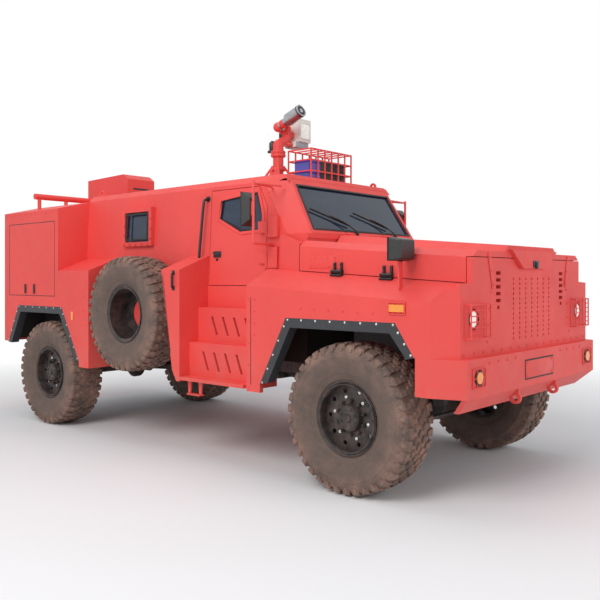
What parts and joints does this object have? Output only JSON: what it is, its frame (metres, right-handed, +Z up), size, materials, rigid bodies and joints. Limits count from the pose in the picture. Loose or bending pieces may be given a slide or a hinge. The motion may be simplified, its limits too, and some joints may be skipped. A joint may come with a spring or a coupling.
{
  "type": "fire reconnaissance vehicle",
  "caption": "Bonneted four-wheel-drive armoured fire reconnaissance vehicle with a roof monitor, hinged doors and bonnet, steered front wheels and a side-mounted spare.",
  "frame": {"origin": "on the ground under the centre of the vehicle's box", "axes": "+X forward, +Y to the vehicle's left, +Z up"},
  "size_m": [6.261, 2.558, 3.4293],
  "materials": {
    "red_paint": "semi-gloss",
    "black_paint": "satin",
    "tyre_rubber": "dusty matte",
    "flare_rubber": "matte",
    "window_glass": "tinted",
    "mirror_shell": "grained",
    "lamp_lens": "clear ribbed",
    "amber_lens": "ribbed",
    "engine_iron": "matte",
    "spring_steel": "satin",
    "seat_cloth": "woven",
    "dash_plastic": "grained",
    "pale_casing": "satin",
    "beacon_plastic": "clear coloured",
    "nozzle_alloy": "cast"
  },
  "bodies": {
    "chassis": {"floor": "red_paint", "tub_walls": "red_paint", "cab_side_left": "red_paint", "cab_side_right": "red_paint", "roof": "red_paint", "windscreen_frame": "red_paint", "cowl_cheeks": "red_paint", "rear_body": "red_paint", "wheel_housings": "red_paint", "sponson_left": "red_paint", "sponson_right": "red_paint", "door_steps": "red_paint", "front_wings": "red_paint", "nose_panel": "red_paint", "front_bumper": "red_paint", "roof_box": "red_paint", "roof_rail": "red_paint", "light_cage": "red_paint", "monitor_base": "red_paint", "spare_carrier": "red_paint", "chassis_frame": "black_paint", "front_axle": "black_paint", "rear_axle": "black_paint", "driveline": "black_paint", "spare_rim": "black_paint", "spare_tyre": "tyre_rubber", "wheel_flares": "flare_rubber", "fixed_glass": "window_glass", "door_mirror_left": "mirror_shell", "door_mirror_right": "mirror_shell", "hood_mirrors": "mirror_shell", "headlights": "lamp_lens", "marker_lamps": "amber_lens", "engine_block": "engine_iron", "leaf_springs": "spring_steel", "seats": "seat_cloth", "dashboard": "dash_plastic", "light_bar": "beacon_plastic"},
    "knuckle_left": {"knuckle_left": "black_paint"},
    "knuckle_right": {"knuckle_right": "black_paint"},
    "tie_rod": {"tie_rod": "black_paint"},
    "wheel_front_left": {"rim_front_left": "black_paint", "tyre_front_left": "tyre_rubber"},
    "wheel_front_right": {"rim_front_right": "black_paint", "tyre_front_right": "tyre_rubber"},
    "wheel_rear_left": {"rim_rear_left": "black_paint", "tyre_rear_left": "tyre_rubber"},
    "wheel_rear_right": {"rim_rear_right": "black_paint", "tyre_rear_right": "tyre_rubber"},
    "left_door": {"door_left": "red_paint", "door_glass_left": "window_glass"},
    "right_door": {"door_right": "red_paint", "door_glass_right": "window_glass"},
    "back_door": {"rear_door": "red_paint"},
    "bonnet": {"hood": "red_paint"},
    "monitor_swivel": {"monitor_swivel": "red_paint", "search_lamp": "pale_casing"},
    "monitor_nozzle": {"monitor_nozzle": "nozzle_alloy"}
  },
  "joints": [
    {"name": "steer_left", "type": "hinge", "parent": "chassis", "child": "knuckle_left", "pos_m": [2.12, 0.745, 0.585], "axis": [0, 0, 1], "range_deg": [-30, 30]},
    {"name": "steer_right", "type": "hinge", "parent": "chassis", "child": "knuckle_right", "pos_m": [2.12, -0.745, 0.585], "axis": [0, 0, 1], "range_deg": [-30, 30]},
    {"name": "tie_rod_pivot", "type": "hinge", "parent": "knuckle_left", "child": "tie_rod", "pos_m": [2.345, 0.745, 0.499], "axis": [0, 0, 1], "range_deg": [-30, 30]},
    {"name": "spin_front_left", "type": "hinge", "parent": "knuckle_left", "child": "wheel_front_left", "pos_m": [2.12, 0, 0.585], "axis": [0, 1, 0], "continuous": true},
    {"name": "spin_front_right", "type": "hinge", "parent": "knuckle_right", "child": "wheel_front_right", "pos_m": [2.12, 0, 0.585], "axis": [0, 1, 0], "continuous": true},
    {"name": "spin_rear_left", "type": "hinge", "parent": "chassis", "child": "wheel_rear_left", "pos_m": [-2.153, 0, 0.585], "axis": [0, 1, 0], "continuous": true},
    {"name": "spin_rear_right", "type": "hinge", "parent": "chassis", "child": "wheel_rear_right", "pos_m": [-2.153, 0, 0.585], "axis": [0, 1, 0], "continuous": true},
    {"name": "open_left_door", "type": "hinge", "parent": "chassis", "child": "left_door", "pos_m": [0.992, 0.906, 1.98], "axis": [0, 0, -1], "range_deg": [0, 65]},
    {"name": "open_right_door", "type": "hinge", "parent": "chassis", "child": "right_door", "pos_m": [0.992, -0.906, 1.98], "axis": [0, 0, 1], "range_deg": [0, 65]},
    {"name": "open_back_door", "type": "hinge", "parent": "chassis", "child": "back_door", "pos_m": [-3.109, -0.508, 1.67], "axis": [0, 0, 1], "range_deg": [0, 110]},
    {"name": "lift_bonnet", "type": "hinge", "parent": "chassis", "child": "bonnet", "pos_m": [1.458, 0, 2.0621], "axis": [0, -1, 0], "range_deg": [0, 55]},
    {"name": "pan_monitor", "type": "hinge", "parent": "chassis", "child": "monitor_swivel", "pos_m": [0.3, 0, 2.96], "axis": [0, 0, 1], "range_deg": [-170, 170]},
    {"name": "tilt_monitor", "type": "hinge", "parent": "monitor_swivel", "child": "monitor_nozzle", "pos_m": [0.3, 0, 3.24], "axis": [0, -1, 0], "range_deg": [-15, 75]}
  ],
  "couplings": [
    {"joint": "steer_right", "follows": "steer_left", "ratio": 1},
    {"joint": "tie_rod_pivot", "follows": "steer_left", "ratio": -1}
  ]
}
